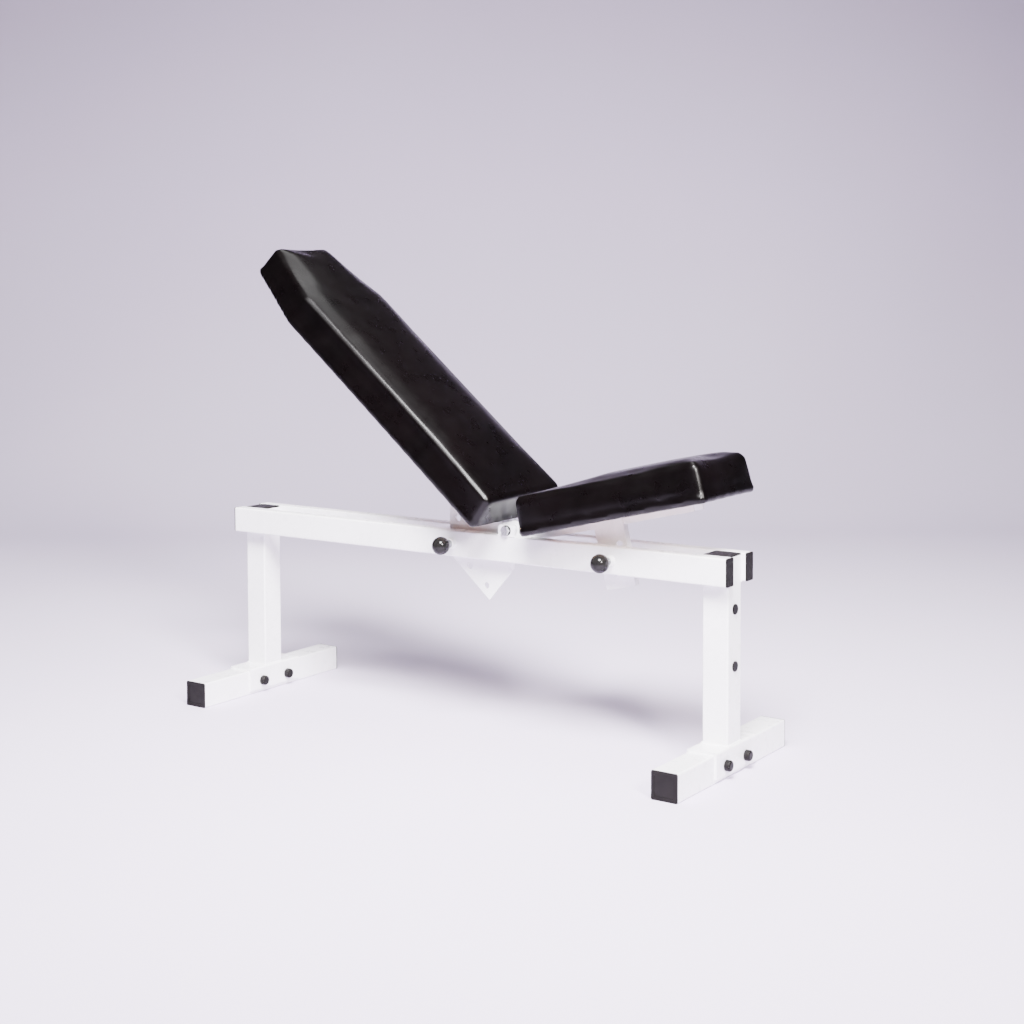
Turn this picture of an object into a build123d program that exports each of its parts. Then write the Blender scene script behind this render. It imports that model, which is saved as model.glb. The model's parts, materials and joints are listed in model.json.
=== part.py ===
from build123d import *
import os
from math import asin, cos, degrees, radians, sin, sqrt

# Adjustable weight bench, millimetres. +X runs from the head end to the foot end,
# Y across the bench (the near side, with the pull pins, is -Y), +Z up.
# Origin: on the floor, midway between the two feet.

os.makedirs("parts", exist_ok=True)

# ---- welded frame ----
TUBE = 50.8                     # square tube of the posts and feet
WALL = 2.0                      # wall of every frame tube
TUBE_CORNER = 3.0               # outside corner radius of a tube
FRONT_X = 550.0                 # middles of the two feet and of their posts
REAR_X = -FRONT_X
FOOT_LENGTH = 412.0
RAIL_WIDTH = 25.4
RAIL_HEIGHT = 50.8
RAIL_LENGTH = 1166.0
RAIL_TOP = 392.0
RAIL_INNER = TUBE / 2           # the rails touch the sides of the posts
RAIL_OUTER = RAIL_INNER + RAIL_WIDTH
RAIL_Y = (RAIL_INNER + RAIL_OUTER) / 2

# ---- plastic plugs that close the tubes ----
CAP_FLANGE = 3.0
CAP_SKIRT = 16.0
CAP_SKIRT_WALL = 2.0
CAP_GAP = 0.1                   # between the skirt and the inside of the tube
CAP_EDGE = 1.0                  # rounding of the flange's outer edge
CAP_RECESS = 1.0                # depth of the panel in a foot cap
CAP_RECESS_MARGIN = 6.0

# ---- saddles that clamp the posts to the feet ----
SADDLE_PLATE = 4.0
SADDLE_LENGTH = 150.0
SADDLE_BOTTOM = 8.0
SADDLE_TOP = TUBE + SADDLE_PLATE
SADDLE_HALF = TUBE / 2 + SADDLE_PLATE
FOOT_BOLT_R = 5.0
FOOT_BOLTS = ((-38.0, TUBE / 2), (38.0, TUBE / 2))      # across the bench, and above the floor
BOLT_HOLE_GAP = 0.1
HEX_HALF = 8.0                  # half the width across flats of the M10 heads and nuts
HEX_HEAD = 6.4
HEX_NUT = 8.0
COVER_R = 10.0
COVER_HEIGHT = 11.0
COVER_TOP = 1.4
COVER_EDGE = 4.0
PLUG_R = 9.5                    # press-in plugs in the front post
PLUG_THICKNESS = 2.5
PLUG_STEM_R = 6.2
PLUG_STEM = 7.0
PLUG_HEIGHTS = (193.0, 295.0)

# ---- hinge shared by the backrest and the seat ----
PIVOT_X = 120.0
PIVOT_Z = 402.5
PIVOT_R = 5.0
PIVOT_GAP = 0.06                # running clearance round the pivot bolt
EAR_HALF = 19.0
EAR_TOP = 413.0
EAR_PLATE = 6.0
EAR_OUTER = RAIL_OUTER - 1.0
EAR_INNER = EAR_OUTER - EAR_PLATE
EAR_CORNER = 7.0
WASHER_R = 10.0
WASHER = 1.5
SLEEVE_R = 8.0
SIDE_GAP = 0.3                  # between faces that slide past each other

# ---- pull pins in the near rail ----
PIN_Z = RAIL_TOP - RAIL_HEIGHT / 2      # half way up the rail
PIN_DROP = PIVOT_Z - PIN_Z
PIN_R = 6.1
PIN_HOLE_R = 6.4                # holes in the adjusting plates
PIN_TIP_Y = -25.0               # nose of a drawn pin; it moves 8.5 further in to lock a plate
PIN_NOSE = 20.0
PIN_TIP_CHAMFER = 1.0
COLLAR_R = 7.8
COLLAR = 3.0
STEM_R = 4.0
STEM_END_Y = -80.0
BARREL_R = 9.5
BARREL_BORE_R = 8.0
BARREL_END_Y = -61.0
GUIDE_END_Y = -36.0
BUSH = 4.0
KNOB_R = 17.5
KNOB_Y = -86.5
KNOB_BASE_Y = -70.0
SPRING_R = 6.2
SPRING_WIRE = 1.0
SPRING_TURNS = 5

# ---- backrest ----
BACK_TILT = 40.0                # as modelled, above horizontal
BACK_POSITIONS = (0.0, 20.0, 40.0, 62.5, 85.0)
BACK_HOLE_RADIUS = 133.0
BACK_START = 28.0               # from the pivot to the pad's lower end
BACK_LENGTH = 750.0
BACK_WIDTH = 252.0
BACK_THICKNESS = 68.0
BACK_LOW = -7.5                 # underside of the pad, from the pivot
HEAD_WIDTH = 158.0
HEAD_TAPER = 160.0
BACK_SPINE_WIDTH = 38.1
BACK_SPINE_DEPTH = 19.05
BACK_SPINE_START = 30.0
BACK_SPINE_END = 628.0
SECTOR_PLATE = 4.75
SECTOR_OUTLINE = (              # from the pivot: towards the head, below the pivot
    (-48.0, 62.0), (-48.0, 147.0), (80.0, 145.0), (150.0, 56.0),
    (150.0, 10.0), (26.0, 10.0), (10.0, -10.0), (-12.0, -8.0),
)
HINGE_ARM = 110.0
HINGE_BOSS_R = 15.0

# ---- seat ----
SEAT_TILT = 13.5                # as modelled, front end up
SEAT_POSITIONS = (6.75, 13.5, 20.25)    # above horizontal; none of them is flat
SEAT_HOLE_RADIUS = 232.0
SEAT_START = 76.0
SEAT_FRONT = 456.0
SEAT_REAR_WIDTH = 252.0
SEAT_FRONT_WIDTH = 198.0
SEAT_THICKNESS = 71.0
SEAT_LOW = -12.5
SEAT_SPINE_WIDTH = 36.0
SEAT_SPINE_DEPTH = 16.0
SEAT_SPINE_WALL = 3.0
SEAT_SPINE_START = 34.0
SEAT_SPINE_END = 388.0
ADJUSTER_PLATE = 3.0
ADJUSTER_REAR = 176.0
ADJUSTER_FRONT = 239.0
ADJUSTER_LOW = -142.0
ADJUSTER_FLANGE = 12.0
ADJUSTER_CORNER = 6.0

# ---- upholstery shared by both pads ----
BOARD = 12.0
VINYL = 1.0
HEM = 25.0                      # width of the cover stapled under the board
HEM_CORNER = 4.0
PAD_CORNER = 13.0
PAD_EDGE = 12.0
SCREW_R = 3.0
SCREW_HOLE_GAP = 0.3
SCREW_HEAD_HALF = 5.0
SCREW_HEAD = 4.0
SCREW_TIP = VINYL + BOARD - 2.0 # height of a screw's tip above the pad's underside
SCREW_Y = 9.0
BACK_SCREWS = [(-s, y) for s in (95.0, 240.0, 410.0, 580.0) for y in (-SCREW_Y, SCREW_Y)]
SEAT_SCREWS = [(s, y) for s in (110.0, 290.0, 365.0) for y in (-SCREW_Y, SCREW_Y)]

BACK_PIN_X = PIVOT_X - sqrt(BACK_HOLE_RADIUS**2 - PIN_DROP**2)
SEAT_PIN_X = PIVOT_X + sqrt(SEAT_HOLE_RADIUS**2 - PIN_DROP**2)
PIVOT = Plane(origin=(PIVOT_X, 0, PIVOT_Z))
BACK = PIVOT.rotated((0, BACK_TILT, 0))
SEAT = PIVOT.rotated((0, -SEAT_TILT, 0))
SPRING_SEAT_Y = PIN_TIP_Y - PIN_NOSE - COLLAR
SPRING_END_Y = BARREL_END_Y + BUSH


def save(piece, name):
    """Label a finished piece and write its STEP file."""
    piece.part.label = name
    export_step(piece.part, f"parts/{name}.step")


def side_of(frame, y):
    """Side-view plane of a frame at distance y across the bench; it extrudes towards -Y."""
    return Plane(origin=frame.origin + Vector(0, y, 0), x_dir=frame.x_dir, z_dir=(0, -1, 0))


def across(x, z, y):
    """Plane facing -Y at the point (x, y, z)."""
    return Plane(origin=(x, y, z), x_dir=(1, 0, 0), z_dir=(0, -1, 0))


# ---------------------------------------------------------------- frame tubes

def rail(name, y, pin_places):
    """One long rail, with a through hole for the barrel of each pull pin."""
    with BuildPart() as tube:
        with BuildSketch(Plane.YZ.offset(-RAIL_LENGTH / 2)):
            with Locations((y, PIN_Z)):
                RectangleRounded(RAIL_WIDTH, RAIL_HEIGHT, TUBE_CORNER)
                RectangleRounded(
                    RAIL_WIDTH - 2 * WALL, RAIL_HEIGHT - 2 * WALL, TUBE_CORNER - WALL, mode=Mode.SUBTRACT
                )
        extrude(amount=RAIL_LENGTH)
        for x in pin_places:
            with BuildSketch(across(x, PIN_Z, y)):
                Circle(BARREL_R + BOLT_HOLE_GAP / 2)
            extrude(amount=RAIL_WIDTH, both=True, mode=Mode.SUBTRACT)
    save(tube, name)


def post(name, x, plug_heights):
    """One upright, from its saddle to the plug between the rails."""
    with BuildPart() as tube:
        with BuildSketch(Plane.XY.offset(SADDLE_TOP)):
            with Locations((x, 0)):
                RectangleRounded(TUBE, TUBE, TUBE_CORNER)
                RectangleRounded(TUBE - 2 * WALL, TUBE - 2 * WALL, TUBE_CORNER - WALL, mode=Mode.SUBTRACT)
        extrude(amount=RAIL_TOP - CAP_FLANGE - SADDLE_TOP)
        for z in plug_heights:
            with BuildSketch(Plane.YZ.offset(x)):
                with Locations((0, z)):
                    Circle(PLUG_STEM_R + BOLT_HOLE_GAP)
            extrude(amount=TUBE, mode=Mode.SUBTRACT)
    save(tube, name)


def foot(name, x):
    """One foot tube, lying across the bench, drilled for the saddle's two bolts."""
    with BuildPart() as tube:
        with BuildSketch(across(x, TUBE / 2, FOOT_LENGTH / 2)):
            RectangleRounded(TUBE, TUBE, TUBE_CORNER)
            RectangleRounded(TUBE - 2 * WALL, TUBE - 2 * WALL, TUBE_CORNER - WALL, mode=Mode.SUBTRACT)
        extrude(amount=FOOT_LENGTH)
        with BuildSketch(Plane.YZ.offset(x)):
            with Locations(*FOOT_BOLTS):
                Circle(FOOT_BOLT_R + BOLT_HOLE_GAP)
        extrude(amount=TUBE, both=True, mode=Mode.SUBTRACT)
    save(tube, name)


def saddle(name, x):
    """Bent plate welded under a post: it straddles the foot and is bolted through it."""
    with BuildPart() as plate:
        with BuildSketch(Plane.XZ.offset(-SADDLE_LENGTH / 2)) as section:
            with Locations((x, (SADDLE_TOP + SADDLE_BOTTOM) / 2)):
                Rectangle(2 * SADDLE_HALF, SADDLE_TOP - SADDLE_BOTTOM)
            fillet(section.vertices().group_by(Axis.Y)[-1], SADDLE_PLATE)
            with Locations((x, TUBE / 2)):
                Rectangle(TUBE, TUBE, mode=Mode.SUBTRACT)
        extrude(amount=SADDLE_LENGTH)
        with BuildSketch(Plane.YZ.offset(x)):
            with Locations(*FOOT_BOLTS):
                Circle(FOOT_BOLT_R + BOLT_HOLE_GAP)
        extrude(amount=TUBE, both=True, mode=Mode.SUBTRACT)
    save(plate, name)


def ear(name, side):
    """Lug welded on top of a rail that carries the pivot bolt; side is -1 near, +1 far."""
    outer_y = max(side * EAR_OUTER, side * EAR_INNER)
    with BuildPart() as lug:
        with BuildSketch(Plane.XZ.offset(-outer_y)) as profile:
            with Locations((PIVOT_X, (RAIL_TOP + EAR_TOP) / 2)):
                Rectangle(2 * EAR_HALF, EAR_TOP - RAIL_TOP)
            fillet(profile.vertices().group_by(Axis.Y)[-1], EAR_CORNER)
            with Locations((PIVOT_X, PIVOT_Z)):
                Circle(PIVOT_R + PIVOT_GAP, mode=Mode.SUBTRACT)
        extrude(amount=EAR_PLATE)
    save(lug, name)


# ---------------------------------------------------------------- plugs and caps

def tube_plug(name, end, width, height, recess=0.0):
    """Plastic plug in the end of a tube: a flange over the end and a hollow skirt inside it."""
    inner_width = width - 2 * (WALL + CAP_GAP)
    inner_height = height - 2 * (WALL + CAP_GAP)
    with BuildPart() as plug:
        with BuildSketch(end):
            RectangleRounded(width, height, TUBE_CORNER)
        extrude(amount=CAP_FLANGE)
        fillet(plug.faces().sort_by(Axis(end.origin, end.z_dir))[-1].edges(), CAP_EDGE)
        if recess:
            with BuildSketch(end.offset(CAP_FLANGE - recess)):
                RectangleRounded(width - 2 * CAP_RECESS_MARGIN, height - 2 * CAP_RECESS_MARGIN, TUBE_CORNER)
            extrude(amount=recess, mode=Mode.SUBTRACT)
        with BuildSketch(end):
            RectangleRounded(inner_width, inner_height, TUBE_CORNER - WALL)
            Rectangle(
                inner_width - 2 * CAP_SKIRT_WALL, inner_height - 2 * CAP_SKIRT_WALL, mode=Mode.SUBTRACT
            )
        extrude(amount=-CAP_SKIRT)
    save(plug, name)


def post_hole_plugs():
    """The two press-in plugs that close the accessory holes in the front post."""
    with BuildPart() as plugs:
        for z in PLUG_HEIGHTS:
            with BuildSketch(Plane.YZ.offset(FRONT_X + TUBE / 2)):
                with Locations((0, z)):
                    Circle(PLUG_R)
            extrude(amount=PLUG_THICKNESS)
            with BuildSketch(Plane.YZ.offset(FRONT_X + TUBE / 2)):
                with Locations((0, z)):
                    Circle(PLUG_STEM_R)
            extrude(amount=-PLUG_STEM)
        fillet(plugs.faces().group_by(Axis.X)[-1].edges(), CAP_EDGE)
    save(plugs, "post_hole_plugs")


# ---------------------------------------------------------------- frame fasteners

def foot_bolts():
    """Four hex bolts, two through each saddle and foot, heads towards the foot end."""
    with BuildPart() as bolts:
        for x in (REAR_X, FRONT_X):
            with BuildSketch(Plane.YZ.offset(x + SADDLE_HALF)):
                with Locations(*FOOT_BOLTS):
                    RegularPolygon(HEX_HALF, 6, major_radius=False)
            extrude(amount=HEX_HEAD)
            with BuildSketch(Plane.YZ.offset(x + SADDLE_HALF)):
                with Locations(*FOOT_BOLTS):
                    Circle(FOOT_BOLT_R)
            extrude(amount=-(2 * SADDLE_HALF + HEX_NUT))
    save(bolts, "foot_bolts")


def foot_nuts():
    """Four nuts on the foot bolts."""
    with BuildPart() as nuts:
        for x in (REAR_X, FRONT_X):
            with BuildSketch(Plane.YZ.offset(x - SADDLE_HALF)):
                with Locations(*FOOT_BOLTS):
                    RegularPolygon(HEX_HALF, 6, major_radius=False)
                    Circle(FOOT_BOLT_R + BOLT_HOLE_GAP / 2, mode=Mode.SUBTRACT)
            extrude(amount=-HEX_NUT)
    save(nuts, "foot_nuts")


def bolt_covers():
    """Eight domed plastic covers pushed over the bolt heads and the nuts."""
    with BuildPart() as covers:
        for x in (REAR_X, FRONT_X):
            for side in (-1, 1):
                with BuildSketch(Plane.YZ.offset(x + side * SADDLE_HALF)):
                    with Locations(*FOOT_BOLTS):
                        Circle(COVER_R)
                extrude(amount=side * COVER_HEIGHT)
                ends = covers.faces().filter_by(GeomType.PLANE).filter_by(
                    lambda face: abs(face.center().X - x - side * (SADDLE_HALF + COVER_HEIGHT)) < 0.01
                )
                fillet(ends.edges(), COVER_EDGE)
                with BuildSketch(Plane.YZ.offset(x + side * SADDLE_HALF)):
                    with Locations(*FOOT_BOLTS):
                        RegularPolygon(HEX_HALF + BOLT_HOLE_GAP, 6, major_radius=False)
                extrude(amount=side * (COVER_HEIGHT - COVER_TOP), mode=Mode.SUBTRACT)
    save(covers, "bolt_covers")


# ---------------------------------------------------------------- pivot

def pivot_bolt():
    """The long bolt that both the backrest and the seat turn on, head on the near side."""
    head_y = -(EAR_OUTER + WASHER)
    with BuildPart() as bolt:
        with BuildSketch(across(PIVOT_X, PIVOT_Z, head_y)):
            RegularPolygon(HEX_HALF, 6, major_radius=False)
        extrude(amount=HEX_HEAD)
        with BuildSketch(across(PIVOT_X, PIVOT_Z, head_y)):
            Circle(PIVOT_R)
        extrude(amount=-(2 * (EAR_OUTER + WASHER) + HEX_NUT + WASHER))
    save(bolt, "pivot_bolt")


def pivot_nut():
    """Lock nut on the far end of the pivot bolt."""
    with BuildPart() as nut:
        with BuildSketch(across(PIVOT_X, PIVOT_Z, EAR_OUTER + WASHER)):
            RegularPolygon(HEX_HALF, 6, major_radius=False)
            Circle(PIVOT_R + PIVOT_GAP, mode=Mode.SUBTRACT)
        extrude(amount=-HEX_NUT)
    save(nut, "pivot_nut")


def on_pivot(name, starts, outer_r, length):
    """Rings on the pivot bolt, one from each start towards +Y."""
    with BuildPart() as rings:
        for start_y in starts:
            with BuildSketch(across(PIVOT_X, PIVOT_Z, start_y)):
                Circle(outer_r)
                Circle(PIVOT_R + PIVOT_GAP, mode=Mode.SUBTRACT)
            extrude(amount=-length)
    save(rings, name)


# ---------------------------------------------------------------- pull pins

def pin_barrel(name, x):
    """Barrel welded through the near rail; its inner end guides the nose of the pin."""
    with BuildPart() as barrel:
        with BuildSketch(across(x, PIN_Z, -RAIL_INNER)):
            Circle(BARREL_R)
            Circle(PIN_R + PIVOT_GAP, mode=Mode.SUBTRACT)
        extrude(amount=-RAIL_INNER - BARREL_END_Y)
        with BuildSketch(across(x, PIN_Z, GUIDE_END_Y)):
            Circle(BARREL_BORE_R)
        extrude(amount=GUIDE_END_Y - BARREL_END_Y, mode=Mode.SUBTRACT)
    save(barrel, name)


def pin_bush(name, x):
    """Bush pressed into the barrel's outer end; the spring pushes against it."""
    with BuildPart() as bush:
        with BuildSketch(across(x, PIN_Z, SPRING_END_Y)):
            Circle(BARREL_BORE_R)
            Circle(STEM_R + PIVOT_GAP, mode=Mode.SUBTRACT)
        extrude(amount=BUSH)
    save(bush, name)


def pin_shaft(name, x):
    """The pin itself, drawn back: nose, collar for the spring, and stem for the knob."""
    with BuildPart() as shaft:
        with BuildSketch(across(x, PIN_Z, PIN_TIP_Y)):
            Circle(PIN_R)
        extrude(amount=PIN_NOSE)
        chamfer(shaft.faces().sort_by(Axis.Y)[-1].edges(), PIN_TIP_CHAMFER)
        with BuildSketch(across(x, PIN_Z, PIN_TIP_Y - PIN_NOSE)):
            Circle(COLLAR_R)
        extrude(amount=COLLAR)
        with BuildSketch(across(x, PIN_Z, SPRING_SEAT_Y)):
            Circle(STEM_R)
        extrude(amount=SPRING_SEAT_Y - STEM_END_Y)
    save(shaft, name)


def pin_spring(name, x):
    """Return spring round the stem, between the collar and the bush."""
    length = SPRING_SEAT_Y - SPRING_END_Y - SPRING_WIRE - SIDE_GAP
    with BuildPart() as spring:
        with BuildLine():
            coil = Helix(
                pitch=length / SPRING_TURNS,
                height=length,
                radius=SPRING_R,
                center=(x, SPRING_SEAT_Y - (SPRING_WIRE + SIDE_GAP) / 2, PIN_Z),
                direction=(0, -1, 0),
            )
        with BuildSketch(Plane(origin=coil @ 0, z_dir=coil % 0)):
            Circle(SPRING_WIRE / 2)
        sweep(path=coil, is_frenet=True)
    save(spring, name)


def pin_knob(name, x):
    """Ball knob on the end of the stem, flat where it faces the barrel."""
    with BuildPart() as knob:
        with BuildSketch(Plane(origin=(x, KNOB_Y, PIN_Z), x_dir=(0, -1, 0), z_dir=(0, 0, 1))):
            Circle(KNOB_R)
            with Locations((0, -KNOB_R)):
                Rectangle(2 * KNOB_R, 2 * KNOB_R, mode=Mode.SUBTRACT)
        revolve(axis=Axis((x, KNOB_Y, PIN_Z), (0, -1, 0)), revolution_arc=360)
        with BuildSketch(across(x, PIN_Z, KNOB_Y + KNOB_R)):
            Circle(KNOB_R)
        extrude(amount=KNOB_Y + KNOB_R - KNOB_BASE_Y, mode=Mode.SUBTRACT)
        with BuildSketch(across(x, PIN_Z, KNOB_BASE_Y)):
            Circle(STEM_R + PIVOT_GAP)
        extrude(amount=KNOB_BASE_Y - STEM_END_Y, mode=Mode.SUBTRACT)
    save(knob, name)


# ---------------------------------------------------------------- upholstery

def back_outline(inset):
    """Draw the backrest pad seen square on, its edge moved inwards by inset."""
    lower, upper = BACK_START + inset, BACK_START + BACK_LENGTH - inset
    shoulder = BACK_START + BACK_LENGTH - HEAD_TAPER
    half, head_half = BACK_WIDTH / 2 - inset, HEAD_WIDTH / 2 - inset
    Polygon(
        (-lower, -half), (-shoulder, -half), (-upper, -head_half),
        (-upper, head_half), (-shoulder, half), (-lower, half),
        align=None,
    )
    fillet(vertices(), max(PAD_CORNER - inset, HEM_CORNER))


def seat_outline(inset):
    """Draw the seat pad seen square on, narrower in front, its edge moved inwards by inset."""
    rear, front = SEAT_START + inset, SEAT_FRONT - inset
    half, front_half = SEAT_REAR_WIDTH / 2 - inset, SEAT_FRONT_WIDTH / 2 - inset
    Polygon(
        (rear, -half), (front, -front_half), (front, front_half), (rear, half),
        align=None,
    )
    fillet(vertices(), max(PAD_CORNER - inset, HEM_CORNER))


def cushion(name, frame, low, thickness, outline, screw_spots):
    """Plywood board, foam block and vinyl cover of one pad; the cover is stapled under the board."""
    board_low = low + VINYL
    with BuildPart() as board:
        with BuildSketch(frame.offset(board_low)):
            outline(VINYL)
            with Locations(*screw_spots):
                Circle(SCREW_R + BOLT_HOLE_GAP / 2, mode=Mode.SUBTRACT)
        extrude(amount=BOARD)
    save(board, f"{name}_board")

    with BuildPart() as foam:
        with BuildSketch(frame.offset(board_low + BOARD)):
            outline(VINYL)
        extrude(amount=thickness - BOARD - 2 * VINYL)
        fillet(foam.faces().sort_by(Axis(frame.origin, frame.z_dir))[-1].edges(), PAD_EDGE - VINYL)
    save(foam, f"{name}_foam")

    with BuildPart() as cover:
        with BuildSketch(frame.offset(low)):
            outline(0)
        extrude(amount=thickness)
        fillet(cover.faces().sort_by(Axis(frame.origin, frame.z_dir))[-1].edges(), PAD_EDGE)
        add(foam.part, mode=Mode.SUBTRACT)
        with BuildSketch(frame.offset(board_low)):
            outline(VINYL)
        extrude(amount=BOARD, mode=Mode.SUBTRACT)
        with BuildSketch(frame.offset(low)):
            outline(VINYL + HEM)
        extrude(amount=VINYL, mode=Mode.SUBTRACT)
    save(cover, f"{name}_cover")


def pad_screws(name, frame, screw_spots, head_height, tip_height):
    """Hex screws driven from under a spine into its board."""
    with BuildPart() as screws:
        with BuildSketch(frame.offset(head_height)):
            with Locations(*screw_spots):
                RegularPolygon(SCREW_HEAD_HALF, 6, major_radius=False)
        extrude(amount=-SCREW_HEAD)
        with BuildSketch(frame.offset(head_height)):
            with Locations(*screw_spots):
                Circle(SCREW_R)
        extrude(amount=tip_height - head_height)
    save(screws, name)


# ---------------------------------------------------------------- backrest

def backrest_spine():
    """Flat tube under the board that carries the backrest pad."""
    length = BACK_SPINE_END - BACK_SPINE_START
    with BuildPart() as spine:
        start = Plane(
            origin=BACK.from_local_coords(Vector(-BACK_SPINE_START, 0, BACK_LOW - BACK_SPINE_DEPTH / 2)),
            x_dir=(0, 1, 0),
            z_dir=-BACK.x_dir,
        )
        with BuildSketch(start):
            RectangleRounded(BACK_SPINE_WIDTH, BACK_SPINE_DEPTH, TUBE_CORNER)
            RectangleRounded(
                BACK_SPINE_WIDTH - 2 * WALL, BACK_SPINE_DEPTH - 2 * WALL, TUBE_CORNER - WALL,
                mode=Mode.SUBTRACT,
            )
        extrude(amount=length)
        with BuildSketch(BACK.offset(BACK_LOW)):
            with Locations(*BACK_SCREWS):
                Circle(SCREW_R + SCREW_HOLE_GAP)
        extrude(amount=-BACK_SPINE_DEPTH, mode=Mode.SUBTRACT)
    save(spine, "backrest_spine")


def sector_plate():
    """Adjusting plate of the backrest, with a hole for each position on an arc round the pivot."""
    first = degrees(asin(PIN_DROP / BACK_HOLE_RADIUS))
    with BuildPart() as plate:
        with BuildSketch(side_of(BACK, -BACK_SPINE_WIDTH / 2)) as profile:
            Polygon(*[(-s, -drop) for s, drop in SECTOR_OUTLINE], align=None)
            Circle(HINGE_BOSS_R)
            Circle(PIVOT_R + PIVOT_GAP, mode=Mode.SUBTRACT)
            for position in BACK_POSITIONS:
                angle = radians(first + position)
                with Locations((-BACK_HOLE_RADIUS * cos(angle), -BACK_HOLE_RADIUS * sin(angle))):
                    Circle(PIN_HOLE_R, mode=Mode.SUBTRACT)
        extrude(amount=SECTOR_PLATE)
    save(plate, "sector_plate")


def backrest_hinge_plate():
    """Plate on the far side of the spine that matches the sector plate's hinge hole."""
    depth = BACK_SPINE_DEPTH - 2 * TUBE_CORNER
    with BuildPart() as plate:
        with BuildSketch(side_of(BACK, BACK_SPINE_WIDTH / 2 + SECTOR_PLATE)):
            with Locations((-HINGE_ARM / 2, BACK_LOW - BACK_SPINE_DEPTH / 2)):
                Rectangle(HINGE_ARM, depth)
            Circle(HINGE_BOSS_R)
            Circle(PIVOT_R + PIVOT_GAP, mode=Mode.SUBTRACT)
        extrude(amount=SECTOR_PLATE)
    save(plate, "backrest_hinge_plate")


# ---------------------------------------------------------------- seat

def seat_spine():
    """Channel under the seat board, its two flanges drawn out to the pivot."""
    low = SEAT_LOW - SEAT_SPINE_DEPTH
    half = SEAT_SPINE_WIDTH / 2
    with BuildPart() as spine:
        with BuildSketch(SEAT.offset(SEAT_LOW)):
            with Locations(((SEAT_SPINE_START + SEAT_SPINE_END) / 2, 0)):
                Rectangle(SEAT_SPINE_END - SEAT_SPINE_START, SEAT_SPINE_WIDTH)
            with Locations(*SEAT_SCREWS):
                Circle(SCREW_R + SCREW_HOLE_GAP, mode=Mode.SUBTRACT)
        extrude(amount=-SEAT_SPINE_WALL)
        for outer_y in (-half + SEAT_SPINE_WALL, half):
            with BuildSketch(side_of(SEAT, outer_y)):
                Polygon(
                    (0, low), (SEAT_SPINE_END, low), (SEAT_SPINE_END, SEAT_LOW), (SEAT_SPINE_START, SEAT_LOW),
                    (0, HINGE_BOSS_R / 2),
                    align=None,
                )
                Circle(HINGE_BOSS_R - 2)
                Circle(PIVOT_R + PIVOT_GAP, mode=Mode.SUBTRACT)
            extrude(amount=SEAT_SPINE_WALL)
    save(spine, "seat_spine")


def seat_adjuster():
    """Adjusting plate of the seat: a hole for each position, and a stiffening flange in front."""
    first = degrees(asin(PIN_DROP / SEAT_HOLE_RADIUS))
    near = -SEAT_SPINE_WIDTH / 2
    top = SEAT_LOW - 0.5
    flange_top = SEAT_LOW - SEAT_SPINE_DEPTH - 1.0
    with BuildPart() as plate:
        with BuildSketch(side_of(SEAT, near)) as profile:
            with Locations(((ADJUSTER_REAR + ADJUSTER_FRONT) / 2, (top + ADJUSTER_LOW) / 2)):
                Rectangle(ADJUSTER_FRONT - ADJUSTER_REAR, top - ADJUSTER_LOW)
            fillet(profile.vertices().sort_by(Axis.X)[:2].sort_by(Axis.Y)[0], ADJUSTER_CORNER)
            for position in SEAT_POSITIONS:
                angle = radians(first + position)
                with Locations((SEAT_HOLE_RADIUS * cos(angle), -SEAT_HOLE_RADIUS * sin(angle))):
                    Circle(PIN_HOLE_R, mode=Mode.SUBTRACT)
        extrude(amount=ADJUSTER_PLATE)
        with BuildSketch(side_of(SEAT, near + ADJUSTER_FLANGE)):
            with Locations((ADJUSTER_FRONT - ADJUSTER_PLATE / 2, (flange_top + ADJUSTER_LOW) / 2)):
                Rectangle(ADJUSTER_PLATE, flange_top - ADJUSTER_LOW)
        extrude(amount=ADJUSTER_FLANGE)
    save(plate, "seat_adjuster")


# ---------------------------------------------------------------- the whole bench

rail("near_rail", -RAIL_Y, (BACK_PIN_X, SEAT_PIN_X))
rail("far_rail", RAIL_Y, ())
for label, x, facing, plug_heights in (("front", FRONT_X, 1, PLUG_HEIGHTS), ("rear", REAR_X, -1, ())):
    post(f"{label}_post", x, plug_heights)
    foot(f"{label}_foot", x)
    saddle(f"{label}_saddle", x)
    tube_plug(f"{label}_post_plug", Plane(origin=(x, 0, RAIL_TOP - CAP_FLANGE)), TUBE, TUBE)
    for side, y in (("near", -RAIL_Y), ("far", RAIL_Y)):
        rail_end = Plane(
            origin=(facing * RAIL_LENGTH / 2, y, PIN_Z), x_dir=(0, 1, 0), z_dir=(facing, 0, 0)
        )
        tube_plug(f"{side}_rail_{label}_cap", rail_end, RAIL_WIDTH, RAIL_HEIGHT)
    for side, outward in (("near", -1), ("far", 1)):
        foot_end = Plane(
            origin=(x, outward * FOOT_LENGTH / 2, TUBE / 2), x_dir=(1, 0, 0), z_dir=(0, outward, 0)
        )
        tube_plug(f"{label}_foot_{side}_cap", foot_end, TUBE, TUBE, CAP_RECESS)

foot_bolts()
foot_nuts()
bolt_covers()
post_hole_plugs()

ear("near_ear", -1)
ear("far_ear", 1)
pivot_bolt()
pivot_nut()
on_pivot("pivot_washers", (-EAR_OUTER - WASHER, EAR_OUTER), WASHER_R, WASHER)
spacer = EAR_INNER - BACK_SPINE_WIDTH / 2 - SECTOR_PLATE - SIDE_GAP
on_pivot("near_spacer", (-EAR_INNER,), SLEEVE_R, spacer)
on_pivot("far_spacer", (EAR_INNER - spacer,), SLEEVE_R, spacer)

for label, x in (("backrest", BACK_PIN_X), ("seat", SEAT_PIN_X)):
    pin_barrel(f"{label}_pin_barrel", x)
    pin_bush(f"{label}_pin_bush", x)
    pin_shaft(f"{label}_pin", x)
    pin_spring(f"{label}_pin_spring", x)
    pin_knob(f"{label}_knob", x)

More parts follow.
